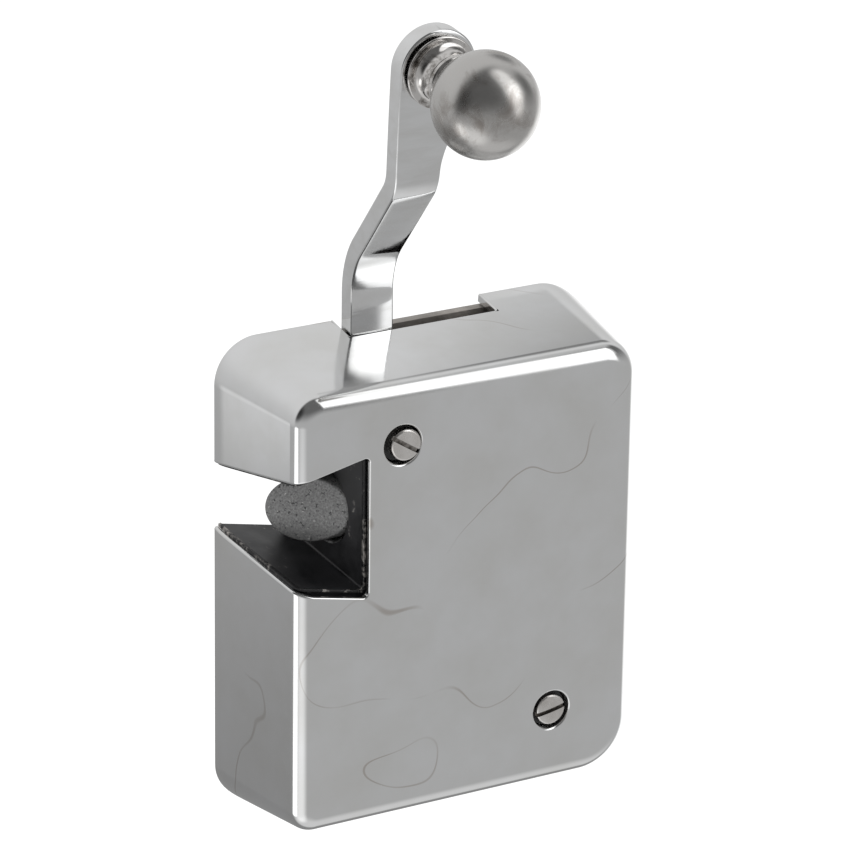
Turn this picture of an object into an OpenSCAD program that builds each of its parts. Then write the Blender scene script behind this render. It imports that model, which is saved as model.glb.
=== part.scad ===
// Surface-mounted latch with a spring bolt, worked by a toggle lever with a ball knob.
// Frame: origin at the centre of the face that meets the door, +X to the right,
// +Y into the door, +Z up. The front of the case is at y = -case_d.

/* [Case] */
// Width across the back of the case
case_w = 60.7; // [60:0.1:66]
// Height at the back of the case
case_h = 72.5; // [72:0.5:80]
// Depth from the door to the front face
case_d = 21; // [20.8:0.1:23]
// Taper of each side from back to front
case_draft = 3; // [2.5:0.1:3.4]
// Radius of the upper right corner at the back
corner_ur = 8.1; // [6.2:0.1:11]
// Radius of the upper left corner at the back
corner_ul = 6.9; // [6.2:0.1:11]
// Radius of the lower left corner at the back
corner_ll = 6.3; // [6.2:0.1:11]
// Radius of the lower right corner at the back
corner_lr = 10.4; // [6.2:0.1:11]
// Rounding of the front edge
edge_r = 2.8; // [2:0.1:3.5]
// How far the back edge turns in
back_turn = 0.3; // [0.1:0.1:0.6]
// Length over which the back edge turns in
turn_len = 3; // [2:0.5:5]
// Thickness of the pressed cover
wall = 1.2; // [1:0.1:1.5]
// Thickness of the back plate
plate_t = 1.6; // [1.5:0.05:1.7]

/* [Mouth] */
// Inner wall of the mouth, left of the centre
mouth_in = 16.2; // [16:0.1:16.6]
// Lower edge of the mouth at the front and inner corner
mouth_low = 1.9; // [1:0.1:3]
// Upper edge of the mouth at the front and inner corner
mouth_high = 23.4; // [22:0.1:24]
// Rise of the floor, and fall of the roof, for each mm towards the side
mouth_slope = 0.216; // [0.15:0.005:0.25]
// Narrowing of floor and roof for each mm towards the door
mouth_flare = 0.133; // [0.1:0.005:0.15]
// Narrowing at the inner wall for each mm towards the door
side_flare = 0.11; // [0:0.01:0.12]
// How far the pocket's floor and roof stand proud of the cover's cut edge
pocket_proud = 0.5; // [0.1:0.05:0.6]

/* [Bolt] */
// Diameter of the bolt
bolt_d = 9.4; // [9:0.1:9.6]
// Height of the bolt's axis
bolt_z = 12.5; // [12:0.1:12.8]
// Depth of the bolt's axis behind the front face
bolt_depth = 10.5; // [10.2:0.1:10.6]
// How far the tip reaches past the mouth's inner wall
bolt_reach = 8.9; // [8:0.1:8.9]
// Angle of the bevel
bevel_angle = 43; // [40:0.5:48]
// Turn of the bevel about the bolt's axis
bevel_turn = 11; // [0:0.5:18]
// Diameter of the tail
tail_d = 5; // [4.6:0.1:5.4]

/* [Lever] */
// Angle that the lever swings through, used for its right-hand stop
lever_swing = 15.4; // [14:0.1:15.4]
// Width of the bar
lever_w = 6.85; // [6.6:0.05:7.1]
// Thickness of the bar
lever_t = 3.1; // [2.8:0.1:3.1]
// Centre of the bar, left of the middle
lever_left = 7.6; // [7.4:0.1:7.8]
// Height of the pivot, below the middle
pivot_down = 21.5; // [20:0.5:22]
// Height of the lower bend
bend_low_z = 45.2; // [44:0.2:47]
// Height of the upper bend
bend_high_z = 60.7; // [60:0.2:63]
// How far the bar steps forward between its bends
joggle = 13; // [12:0.1:13.5]
// Forward lean of the grip above the upper bend
lean = 5; // [3:0.5:7]
// Height of the centre of the round head
head_z = 78.3; // [76:0.2:80]
// Radius of the round head
head_r = 5.9; // [5.6:0.1:6.4]

/* [Knob] */
// Diameter of the ball
ball_d = 15; // [14:0.5:16]
// Distance from the lever's face to the centre of the ball
ball_out = 13.1; // [12:0.1:14]
// Radius of the knob's foot
foot_r = 5.3; // [4.8:0.1:5.6]

/* [Hidden] */

CHROME = [0.72, 0.73, 0.74];
NICKEL = [0.62, 0.60, 0.57];
STEEL = [0.45, 0.45, 0.44];
BLACK = [0.10, 0.10, 0.11];

eps = 0.01;
round_fn = 96;
hull_fn = 32;
front_y = -case_d;
plate_y = -plate_t;
fit = 0.05;

plate_inset = wall + back_turn + 0.25;

// Mouth
mouth_x = -mouth_in;
floor_t = 2;
inner_wall_t = 4.2;
pocket_gap = 0.25;

// Screws: clearance hole, shank, countersunk head and slot
hole_d = 3;
shank_d = 2.9;
csk_d = 5.6;
csk_h = 1.5;
slot_w = 0.8;

// Cover screws and the round recesses they sit in
recess_d = 6.3;
recess_deep = 1.6;
recess_boss_d = 8.8;
cover_hole_d = 4.2;
cover_head_d = 4.7;
screw_up = [-10.95, 24.33];
screw_up_shift = 0.4;
screw_low = [14.3, -22.05];
boss_y = front_y + recess_deep + wall;

// Fixing holes in the back plate
fixing_x = 22;
fixing_z = 28.5;
fixing_d = 4.5;
fixing_csk_d = 8;

// Lever, from the plate forward
spacer_t = 0.6;
lever_x = -lever_left;
pivot_z = -pivot_down;
lever_back = plate_y - spacer_t;
lever_front = lever_back - lever_t;
pivot_d = 6;
eye_r = 6.6;
head_x = -5.55;
bend_r = 8;
slot_x = [-12.2, 12.5];
slot_front = lever_front - 0.15;
// Face of the grip at the height of the head's centre
grip_face = lever_front - joggle - (head_z - bend_high_z) * tan(lean);

// Bolt
bolt_y = front_y + bolt_depth;
tip_x = mouth_x - bolt_reach;
face_x = tip_x + bolt_d / 2 * tan(bevel_angle);
shoulder_x = -3;
tail_end = 17.4;
pin_d = 3;
pin_slot = 3.3;
pin_front = bolt_y + 0.4;
bore_x = inner_wall_x(bolt_y);
lead_d = bolt_d + 3.5;
lead_h = 2.4;
bore_boss_d = bolt_d + 5;
bore_boss_end = -10.2;
// Lug behind the upper cover screw, in X and Z
lug_lo = [-14, 18];
lug_hi = [-6.4, 28];

// Tail bracket and spring
bracket_x = 13.5;
bracket_t = 2.5;
bracket_h = 13;
bracket_foot_x = 24;
washer_t = 0.6;
wire_d = 0.8;
coil_r = 3.6;
coil_turns = 7;
dead_turns = 1.1;
live_turns = coil_turns - 2 * dead_turns;
spring_x0 = shoulder_x + 0.05;
spring_len = bracket_x - washer_t - 0.1 - spring_x0;

// Countersunk screws through the back plate: pocket, bracket and post
pocket_screw_x = -15.3;
pocket_screw_z = [0.2, 24.8];
pad_d = 7;
pad_deep = 8;
bracket_screw_x = 20.6;
bracket_screw_z = [bolt_z - 4, bolt_z + 4];
plate_screw_at = [[pocket_screw_x, pocket_screw_z[0]], [pocket_screw_x, pocket_screw_z[1]],
                  [bracket_screw_x, bracket_screw_z[0]], [bracket_screw_x, bracket_screw_z[1]],
                  screw_low];
plate_screw_len = [7, 7, plate_t + bracket_t, plate_t + bracket_t, 7];

// Stop pins: the left one holds the lever at rest, the right one ends its swing
stop_d = 4;
stop_gap = 0.12;
stop_len = 6.5;
stop_left_z = 31;
stop_right_z = 28;
stop_reach = (lever_w / 2 + stop_d / 2 + stop_gap);
stop_left_x = lever_x - stop_reach;
stop_right_x = lever_x + (stop_right_z - pivot_z) * tan(lever_swing) + stop_reach / cos(lever_swing);

// ---------- Helpers ----------

// Round bar along Y from y0 to y1
module ybar(d, y0, y1, x = 0, z = 0)
    translate([x, y1, z]) rotate([90, 0, 0]) cylinder(h = y1 - y0, d = d, $fn = round_fn);

// Cone along Y: diameter d0 at y0 and d1 at y1
module ycone(d0, d1, y0, y1, x = 0, z = 0)
    translate([x, y1, z]) rotate([90, 0, 0]) cylinder(h = y1 - y0, d1 = d1, d2 = d0, $fn = round_fn);

// Round bar along X from x0 to x1
module xbar(d, x0, x1, y = 0, z = 0)
    translate([x0, y, z]) rotate([0, 90, 0]) cylinder(h = x1 - x0, d = d, $fn = round_fn);

// Box from its low corner to its high corner
module box(a, b) translate(a) cube(b - a);

// A flat outline in X and Z, extruded from y0 to y1
module plate_xz(y0, y1) translate([0, y1, 0]) rotate([90, 0, 0]) linear_extrude(y1 - y0) children();

// Draft of the case, and place of the mouth's inner wall, at depth y
function draft_at(y) = -case_draft * y / case_d;
function inner_wall_x(y) = mouth_x - side_flare * (y - front_y);

// Corners of the case: side, height and radius at the back
corners = [[1, 1, corner_ur], [-1, 1, corner_ul], [-1, -1, corner_ll], [1, -1, corner_lr]];
function corner_at(c) = [c[0] * (case_w / 2 - c[2]), c[1] * (case_h / 2 - c[2])];

// Corner rounds of one slice of the case, at depth y, turned in by inset
module case_slice(y, inset)
    for (c = corners)
        translate([corner_at(c)[0], y, corner_at(c)[1]]) rotate([90, 0, 0])
            cylinder(h = eps, r = c[2] - draft_at(y) - inset, $fn = hull_fn);

// Solid outer form of the case, all round smaller by g
module case_form(g = 0)
    hull() {
        if (g > 0) case_slice(1, g + back_turn);
        for (t = [0, 30, 60, 90]) case_slice(-turn_len * (1 - cos(t)), g + back_turn * (1 - sin(t)));
        for (c = corners)
            translate([corner_at(c)[0], front_y + edge_r, corner_at(c)[1]]) rotate([90, 0, 0])
                rotate_extrude($fn = hull_fn)
                    translate([c[2] - draft_at(front_y + edge_r) - edge_r, 0])
                        intersection() {
                            circle(r = edge_r - g, $fn = hull_fn);
                            translate([0, -5]) square(10);
                        }
    }

function floor_z(x, y) = mouth_low + mouth_slope * (mouth_x - x) + mouth_flare * (y - front_y);
function roof_z(x, y) = mouth_high - mouth_slope * (mouth_x - x) - mouth_flare * (y - front_y);

// The wedge-shaped mouth: its inner wall moved out by side, its floor and roof by cap
module mouth_space(side = 0, cap = 0) {
    ys = [-30, 5];
    floor_pts = [for (y = ys, x = [-40, inner_wall_x(y) + side]) [x, y, floor_z(x, y) - cap]];
    roof_pts = [for (y = ys, x = [-40, inner_wall_x(y) + side]) [x, y, roof_z(x, y) + cap]];
    polyhedron(concat(floor_pts, roof_pts),
               [[0, 1, 3, 2], [4, 6, 7, 5], [0, 4, 5, 1], [2, 3, 7, 6], [0, 2, 6, 4], [1, 5, 7, 3]]);
}

// Countersunk screw that enters the plate from the door side
module plate_screw(at, len)
    translate([at[0], 0, at[1]]) difference() {
        union() {
            ycone(shank_d, csk_d - 0.1, -csk_h, 0);
            ybar(shank_d, -len, 0);
        }
        box([-csk_d, -slot_w, -slot_w / 2], [csk_d, 1, slot_w / 2]);
    }

// Cheese-head screw for the cover, its slot turned by angle
module cover_screw(at, angle, len, proud)
    translate([at[0], front_y - proud, at[1]]) difference() {
        union() {
            ybar(cover_head_d, 0.35, recess_deep + proud);
            ycone(cover_head_d - 0.9, cover_head_d, 0, 0.35);
            ybar(shank_d, 1, len);
        }
        rotate([0, angle, 0]) box([-4, -1, -slot_w / 2], [4, 0.9, slot_w / 2]);
    }

// Points of a path with its two bends rounded
function arc_pts(p, a, b, r, n) =
    let (ua = (a - p) / norm(a - p), ub = (b - p) / norm(b - p),
         half = acos(ua * ub) / 2, reach = r / tan(half),
         mid = (ua + ub) / norm(ua + ub), c = p + mid * r / sin(half),
         s = p + ua * reach - c, e = p + ub * reach - c,
         a0 = atan2(s[1], s[0]), a1 = atan2(e[1], e[0]),
         turn = a1 - a0 > 180 ? a1 - a0 - 360 : a1 - a0 < -180 ? a1 - a0 + 360 : a1 - a0)
    [for (i = [0:n]) c + r * [cos(a0 + turn * i / n), sin(a0 + turn * i / n)]];

// A strip of thickness t with its front on the path, in Y and Z, thickness going back
function strip(path, t) =
    let (n = len(path), along = [for (i = [0:n - 1]) path[min(i + 1, n - 1)] - path[max(i - 1, 0)]],
         back = [for (i = [0:n - 1]) path[i] + t * [along[i][1], -along[i][0]] / norm(along[i])])
    concat(path, [for (i = [n - 1:-1:0]) back[i]]);

// Smooth step from 0 to 1
function ease(u) = let (v = min(max(u, 0), 1)) v * v * (3 - 2 * v);

// Place along the coil after t turns: close turns at both ends, open ones between
function coil_x(t) =
    let (close = wire_d * 1.2,
         open = (spring_len - wire_d - 2 * close * dead_turns) / live_turns)
    wire_d / 2 + close * (min(t, dead_turns) + max(0, t - coil_turns + dead_turns))
    + open * min(max(t - dead_turns, 0), live_turns);

// Ring of points round the wire after t turns of a coil about X
function coil_ring(t, sides) =
    [for (k = [0:sides - 1]) let (b = 360 * (k + 0.5) / sides, r = coil_r + wire_d / 2 * cos(b))
        [coil_x(t) + wire_d / 2 * sin(b), r * cos(360 * t), r * sin(360 * t)]];

// ---------- Sub-parts ----------

module front_cover()
    color(CHROME) difference() {
        union() {
            difference() {
                case_form();
                case_form(wall);
            }
            for (at = [screw_up, screw_low]) ybar(recess_boss_d, front_y + 0.5, boss_y, at[0], at[1]);
        }
        mouth_space();
        box([slot_x[0], slot_front, 30], [slot_x[1], 5, 40]);
        for (at = [screw_up, screw_low]) {
            ybar(recess_d, front_y - 1, front_y + recess_deep, at[0], at[1]);
            ybar(cover_hole_d, front_y, boss_y + 1, at[0], at[1]);
        }
    }

module back_plate()
    color(STEEL) difference() {
        union() {
            plate_xz(plate_y, 0) polygon([for (c = corners, a = (c[0] * c[1] > 0 ? [1, 0] : [0, 1]))
                corner_at(c) + (c[2] - plate_inset) * [a * c[0], (1 - a) * c[1]]]);
            for (c = corners) ybar(2 * (c[2] - plate_inset), plate_y, 0, corner_at(c)[0], corner_at(c)[1]);
        }
        mouth_space(0.2, 0.2);
        for (sx = [-1, 1], sz = [-1, 1]) {
            ybar(fixing_d, -5, 1, sx * fixing_x, sz * fixing_z);
            ycone(fixing_csk_d, fixing_d, plate_y - eps, -0.3, sx * fixing_x, sz * fixing_z);
        }
        for (at = plate_screw_at) {
            ybar(hole_d, -5, 1, at[0], at[1]);
            ycone(hole_d, csk_d + 0.1, -csk_h, eps, at[0], at[1]);
        }
        for (at = [[stop_left_x, stop_left_z], [stop_right_x, stop_right_z]])
            ybar(stop_d - 1, -5, 1, at[0], at[1]);
        ybar(pivot_d - 2, -5, 1, lever_x, pivot_z);
    }

module strike_pocket()
    color(BLACK) difference() {
        intersection() {
            union() {
                difference() {
                    mouth_space(inner_wall_t, floor_t);
                    box([-50, plate_y - 0.02, -50], [50, 50, 50]);
                }
                for (z = pocket_screw_z) ybar(pad_d, plate_y - pad_deep, plate_y - 0.02, pocket_screw_x, z);
                // Boss round the bolt, in front of the lever
                intersection() {
                    xbar(bore_boss_d, mouth_x, bore_boss_end, bolt_y, bolt_z);
                    box([-20, -30, -50], [0, lever_front - 0.5, 50]);
                }
                // Lug for the upper cover screw
                box([lug_lo[0], boss_y + 0.1, lug_lo[1]], [lug_hi[0], lever_front - 0.9, lug_hi[1]]);
            }
            case_form(wall + pocket_gap);
        }
        mouth_space(0, -pocket_proud);
        ybar(recess_boss_d + 0.4, -30, boss_y + 0.1, screw_up[0], screw_up[1]);
        xbar(bolt_d + 2 * fit, -20, 0, bolt_y, bolt_z);
        // Wide lead where the bore meets the mouth
        translate([bore_x, bolt_y, bolt_z]) rotate([0, 90, 0])
            cylinder(h = lead_h, d1 = lead_d, d2 = bolt_d + 0.1, center = true, $fn = round_fn);
        ybar(hole_d, boss_y - 1, boss_y + 9, screw_up[0] + screw_up_shift, screw_up[1]);
        for (z = pocket_screw_z) ybar(hole_d, plate_y - 6, plate_y + 1, pocket_screw_x, z);
    }

module latch_bolt()
    color(STEEL) difference() {
        union() {
            xbar(bolt_d, tip_x - 1, shoulder_x, bolt_y, bolt_z);
            xbar(tail_d, shoulder_x - 1, tail_end - 0.5, bolt_y, bolt_z);
            translate([tail_end - 0.5, bolt_y, bolt_z]) rotate([0, 90, 0])
                cylinder(h = 0.5, d1 = tail_d, d2 = tail_d - 1, $fn = round_fn);
        }
        translate([face_x, bolt_y, bolt_z]) rotate([-bevel_turn, 0, 0]) rotate([0, 0, bevel_angle])
            box([-30, -30, -30], [0, 30, 30]);
        box([lever_x - pin_slot / 2, bolt_y, bolt_z - 10], [lever_x + pin_slot / 2, bolt_y + 10, bolt_z + 10]);
    }

module bolt_spring() {
    sides = 8;
    steps = 20 * coil_turns;
    rings = [for (i = [0:steps]) each coil_ring(i / 20, sides)];
    walls = [for (i = [0:steps - 1], k = [0:sides - 1])
        [i * sides + k, i * sides + (k + 1) % sides, (i + 1) * sides + (k + 1) % sides, (i + 1) * sides + k]];
    ends = [[for (k = [sides - 1:-1:0]) k], [for (k = [0:sides - 1]) steps * sides + k]];
    color(STEEL) translate([spring_x0, bolt_y, bolt_z]) polyhedron(rings, concat(walls, ends));
}

module spring_washer()
    color(STEEL) difference() {
        xbar(coil_r * 2 + 2, bracket_x - washer_t - 0.02, bracket_x - 0.02, bolt_y, bolt_z);
        xbar(tail_d + 0.3, bracket_x - 5, bracket_x + 5, bolt_y, bolt_z);
    }

module tail_bracket()
    color(STEEL) difference() {
        union() {
            box([bracket_x, bolt_y - bracket_h / 2, bolt_z - bracket_h / 2],
                [bracket_x + bracket_t, plate_y - 0.02, bolt_z + bracket_h / 2]);
            box([bracket_x, plate_y - bracket_t, bolt_z - bracket_h / 2],
                [bracket_foot_x, plate_y - 0.02, bolt_z + bracket_h / 2]);
        }
        xbar(tail_d + 2 * fit, 0, 30, bolt_y, bolt_z);
        for (z = bracket_screw_z) ybar(hole_d, -10, 1, bracket_screw_x, z);
    }

// The lever seen from the front, as a deep block
module lever_front_form() {
    flare_z0 = bend_high_z + 2;
    flare_z1 = head_z - 1;
    left0 = lever_x - lever_w / 2;
    right0 = lever_x + lever_w / 2;
    left_rise = [for (i = [0:8]) let (u = i / 8)
        [left0 + (head_x - head_r - left0) * ease(u), bend_low_z + (head_z - bend_low_z) * u]];
    right_rise = [for (i = [16:-1:0]) let (u = i / 16)
        [right0 + (head_x + head_r - right0) * ease(u), flare_z0 + (flare_z1 - flare_z0) * u]];
    plate_xz(-40, 5)
        polygon(concat([[left0, pivot_z]], left_rise, [[head_x + head_r, head_z]], right_rise,
                       [[right0, pivot_z]]));
    ybar(2 * head_r, -40, 5, head_x, head_z);
    ybar(2 * eye_r, -40, 5, lever_x, pivot_z);
}

// Side view of the lever's front face, in Y and Z
module lever_side() {
    foot = [lever_front, pivot_z - 10];
    low = [lever_front, bend_low_z];
    high = [lever_front - joggle, bend_high_z];
    top = [high[0] - 40 * sin(lean), high[1] + 40 * cos(lean)];
    polygon(strip(concat([foot], arc_pts(low, foot, high, bend_r + lever_t, 10),
                         arc_pts(high, low, top, bend_r, 10), [top]), lever_t));
}

// Places its children on the face of the grip, with Y square to it, at the head's centre
module on_grip() translate([head_x, grip_face, head_z]) rotate([lean, 0, 0]) children();

module lever()
    color(CHROME) difference() {
        intersection() {
            translate([-30, 0, 0]) rotate([90, 0, 90]) linear_extrude(50) lever_side();
            lever_front_form();
        }
        ybar(pivot_d + 2 * fit, -10, 0, lever_x, pivot_z);
        ybar(pin_d, -10, 0, lever_x, bolt_z);
        on_grip() {
            ybar(hole_d + 0.2, -1, 10);
            ycone(hole_d, csk_d + 0.4, lever_t - csk_h, lever_t + eps);
        }
    }

module drive_pin()
    color(STEEL) union() {
        ybar(pin_d - 0.02, lever_front - 1, lever_back, lever_x, bolt_z);
        ybar(pin_d - 0.02, pin_front, lever_front - 0.5, lever_x, bolt_z);
    }

// Turned knob: foot, cove, neck, bead and ball
module knob() {
    ball_r = ball_d / 2;
    neck_r = 3.3;
    bead_r = 3.9;
    cove = [for (i = [0:10]) let (a = 90 * i / 10)
        [foot_r - 0.3 - (foot_r - 0.3 - neck_r) * sin(a), 1 + 2.8 * (1 - cos(a))]];
    bead = [for (i = [0:6]) let (a = 180 * i / 6 - 90)
        [neck_r + 0.1 + (bead_r - neck_r) * cos(a), 4.9 + 0.7 * sin(a)]];
    join = asin(neck_r / ball_r);
    ball = [for (i = [0:40]) let (a = join + (180 - join) * i / 40)
        [ball_r * sin(a), ball_out - ball_r * cos(a)]];
    profile = concat([[0, 0], [foot_r - 0.1, 0], [foot_r, 0.2], [foot_r, 0.7]], cove, bead, ball);
    color(NICKEL) on_grip() difference() {
        translate([0, -0.02, 0]) rotate([90, 0, 0]) rotate_extrude($fn = round_fn) polygon(profile);
        ybar(hole_d, -8, 1);
    }
}

module knob_screw()
    color(STEEL) on_grip() difference() {
        union() {
            ybar(shank_d, -7, lever_t - 0.5);
            ycone(shank_d, csk_d + 0.1, lever_t - csk_h + 0.1, lever_t);
        }
        rotate([0, 25, 0]) box([-4, lever_t - slot_w, -slot_w / 2], [4, lever_t + 1, slot_w / 2]);
    }

module pivot_stud() {
    clip_y = lever_front - 1.3;
    color(STEEL) union() {
        ybar(pivot_d - 2 - 0.04, plate_y - 1, -0.1, lever_x, pivot_z);
        ybar(pivot_d, clip_y + 0.7, plate_y - 0.01, lever_x, pivot_z);
        ybar(pivot_d - 1.4, clip_y - 0.05, clip_y + 0.75, lever_x, pivot_z);
        ybar(pivot_d, clip_y - 0.9, clip_y, lever_x, pivot_z);
    }
}

// Flat washer about the pivot, from y0 to y1
module pivot_ring(d, y0, y1)
    color(STEEL) difference() {
        ybar(d, y0, y1, lever_x, pivot_z);
        ybar(pivot_d + 0.2, -20, 5, lever_x, pivot_z);
    }

module pivot_spacer() pivot_ring(12, lever_back + 0.03, plate_y - 0.02);

module pivot_washer() pivot_ring(11, lever_front - 0.55, lever_front - 0.05);

// Spring clip in the stud's groove, open at its lower side
module pivot_clip()
    color(STEEL) translate([lever_x, 0, pivot_z]) difference() {
        ybar(9.6, lever_front - 1.25, lever_front - 0.65);
        ybar(pivot_d - 1.4 + 0.06, -20, 5);
        box([-1.7, -20, -6], [1.7, 5, 0]);
    }

module stop_pins()
    color(STEEL) for (at = [[stop_left_x, stop_left_z], [stop_right_x, stop_right_z]]) {
        ybar(stop_d, plate_y - stop_len, plate_y - 0.02, at[0], at[1]);
        ybar(stop_d - 1.04, plate_y - 1, -0.1, at[0], at[1]);
    }

// Hexagonal pillar that takes the lower cover screw
module cover_post()
    color(STEEL) translate([screw_low[0], 0, screw_low[1]]) difference() {
        translate([0, plate_y - 0.02, 0]) rotate([90, 0, 0])
            cylinder(h = plate_y - 0.02 - boss_y - 0.1, d = 7.6, $fn = 6);
        ybar(hole_d, boss_y - 1, boss_y + 9);
        ybar(hole_d, plate_y - 6, plate_y + 1);
    }

module plate_screws()
    color(STEEL) for (i = [0:len(plate_screw_at) - 1]) plate_screw(plate_screw_at[i], plate_screw_len[i]);

module cover_screw_upper()
    color(NICKEL) cover_screw(screw_up + [screw_up_shift, 0], 33, 9, 0.45);

module cover_screw_lower()
    color(NICKEL) cover_screw(screw_low, -11, 9, 0.05);

front_cover();
back_plate();
strike_pocket();
latch_bolt();
bolt_spring();
spring_washer();
tail_bracket();
lever();
drive_pin();
knob();
knob_screw();
pivot_stud();
pivot_spacer();
pivot_washer();
pivot_clip();
stop_pins();
cover_post();
plate_screws();
cover_screw_upper();
cover_screw_lower();
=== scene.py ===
from math import acos, asin, atan2, cos, degrees, hypot, pi, radians, sin, tan

import bmesh
import bpy
from mathutils import Matrix, Vector


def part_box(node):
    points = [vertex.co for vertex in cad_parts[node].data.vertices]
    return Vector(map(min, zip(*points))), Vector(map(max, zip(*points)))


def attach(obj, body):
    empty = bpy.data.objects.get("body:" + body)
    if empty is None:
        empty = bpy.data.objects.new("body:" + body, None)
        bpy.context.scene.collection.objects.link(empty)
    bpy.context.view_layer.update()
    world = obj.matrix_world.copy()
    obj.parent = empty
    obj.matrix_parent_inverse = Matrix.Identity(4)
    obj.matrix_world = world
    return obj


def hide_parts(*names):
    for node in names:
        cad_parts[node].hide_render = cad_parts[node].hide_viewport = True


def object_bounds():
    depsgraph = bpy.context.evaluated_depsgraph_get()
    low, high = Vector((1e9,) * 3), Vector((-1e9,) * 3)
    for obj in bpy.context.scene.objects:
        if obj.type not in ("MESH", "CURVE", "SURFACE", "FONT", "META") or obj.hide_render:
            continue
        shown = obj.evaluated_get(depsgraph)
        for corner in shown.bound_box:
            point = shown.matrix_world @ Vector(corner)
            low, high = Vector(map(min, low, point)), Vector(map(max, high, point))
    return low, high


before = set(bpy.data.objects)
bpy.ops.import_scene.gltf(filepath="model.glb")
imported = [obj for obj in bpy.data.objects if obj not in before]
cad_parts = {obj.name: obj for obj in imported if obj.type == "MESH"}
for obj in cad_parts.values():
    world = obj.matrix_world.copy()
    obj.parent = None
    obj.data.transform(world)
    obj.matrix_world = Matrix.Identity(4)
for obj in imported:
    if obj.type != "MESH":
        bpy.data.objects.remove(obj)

CAD_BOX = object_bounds()
MM = 0.001
SCENE = bpy.context.scene

# ---------- Sizes, in millimetres, in the frame of the part ----------

# Case: its sharp outline at the door, the draft of its sides, and the round of its front edge
FRONT_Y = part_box("front_cover")[0][1] / MM
CASE_W, CASE_H = 60.7, 72.5
DRAFT = 3.0
DRAFT_ANGLE = atan2(DRAFT, -FRONT_Y)
EDGE_R = 2.8
WALL = 1.2
# The sides turn in a little over their last few millimetres before the door
BACK_TURN, TURN_LEN = 0.3, 3.0
# Corners of the case: side, height, radius at the back
CORNERS = ((1, 1, 8.1), (-1, 1, 6.9), (-1, -1, 6.3), (1, -1, 10.4))

# Mouth: its inner wall, floor and roof at the front of the case, and how much they slope and flare
MOUTH_X = -16.2
MOUTH_LOW, MOUTH_HIGH = 1.9, 23.4
MOUTH_SLOPE, MOUTH_FLARE, SIDE_FLARE = 0.216, 0.133, 0.11
MOUTH_CORNER = 0.7

# Slot for the lever in the top of the case
SLOT_X = (-11.3, 12.5)
SLOT_GAP = 0.35
SLOT_CORNER = 0.5

# Rolled edges of the mouth and the slot: radius, thickness of the strip, flat beside the round
MOUTH_EDGE, MOUTH_EDGE_T = 0.3, 0.6
SLOT_EDGE = 0.2
FLAT = 0.1

# Lining of the mouth: its thickness, how far it stands into the opening, how far it is behind the
# case's front and side, its inner wall with the boss round the bolt, the lead of the bolt's hole, the
# apron out to the case's side, and the worn lip along its front edge
LINER_T, LINER_PROUD = 2.0, 0.5
LINER_DEPTH, LINER_SIDE = 1.45, 0.6
LINER_EDGE = 0.5
LINER_CORNER, LINER_OUTER_CORNER = 0.3, 2.5
LINER_WALL, LINER_WALL_Z = 4.2, (-0.4, 25.6)
BOSS_T, BOSS_LEN = 2.5, 6.0
LEAD_R, LEAD_DEEP = 1.9, 1.22
APRON_GAP, APRON_CORNER = 0.14, 0.3
LIP_R, LIP_DEEP = 0.13, 0.5

# Bolt: round, with a bevelled nose, a cross slot for the lever's pin and a thinner tail; its axis is
# measured from the case's front
BOLT_D, BOLT_Y, BOLT_Z = 9.4, FRONT_Y + 10.5, 12.5
BOLT_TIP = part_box("latch_bolt")[0][0] / MM
BOLT_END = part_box("latch_bolt")[1][0] / MM
BOLT_PLAY = 0.05
BOLT_EDGE = 0.22
BOLT_SLOT = 3.3
BEVEL, BEVEL_TURN = radians(43), radians(11)
SHOULDER_X, SHOULDER_CHAMFER = -3.0, 0.3
TAIL_D, TAIL_CHAMFER = 5.0, 0.5

# Lever: a flat bar on its pivot, with a forward joggle and a round head
LEVER_X, PIVOT_Z = -7.6, -21.5
LEVER_W, LEVER_T = 6.85, 3.1
LEVER_FRONT = FRONT_Y + 15.7
LEVER_EDGE = 0.32
CROWN = 0.10
BEND_LOW_Z, BEND_HIGH_Z, JOGGLE = 45.2, 60.7, 13.0
BEND_R = 8.0
LEAN = radians(5)
STRAIGHT_TO = 40.0
HEAD_X, HEAD_Z, HEAD_R, EYE_R = -5.55, 78.3, 5.9, 6.6
GRIP_Y = LEVER_FRONT - JOGGLE - (HEAD_Z - BEND_HIGH_Z) * tan(LEAN)
SLOT_FRONT = LEVER_FRONT - SLOT_GAP

# Holes in the lever: pivot, drive pin, and the knob's countersunk screw
PIVOT_HOLE_R, PIN_HOLE_R, KNOB_HOLE_R = 3.05, 1.5, 1.6
SINK_R, SINK_PAST = 3.1, 0.15

# Knob, turned in one piece: the heights are along its axis, from the lever
BALL_R, BALL_OUT = 7.5, 13.1
STEP_R, STEP_TOP = 4.5, 0.6
FOOT_R, FOOT_MID, FOOT_EDGE = 5.3, 0.85, 0.22
NECK_R, COVE_LEN, COVE_STEP = 3.2, 2.6, 0.75
BEAD_R, BEAD_MID, BEAD_HALF = 4.0, 4.75, 0.85

# Cover screws and their recesses; the upper screw sits a little to the right in its recess
SCREW_UP, SCREW_LOW = (-10.95, 24.33), (14.3, -22.05)
SCREW_UP_SHIFT = 0.4
RECESS_R, RECESS_DEEP, RECESS_LIP, RECESS_FOOT, RECESS_HOLE = 2.92, 1.6, 0.42, 0.3, 2.0
SCREW_HEAD_R, SCREW_RIM, SCREW_DOME = 2.35, 0.35, 0.12
SHANK_R, SHANK_LEN = 1.45, 8.5
SAW_W, SAW_DEEP = 0.62, 0.85

# How far the cutters run past the case: in front of it, behind it, and to its sides
PAST_FRONT, PAST_BACK, PAST_SIDE = -30.0, 5.0, 60.0


# ---------- Mesh helpers ----------

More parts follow.
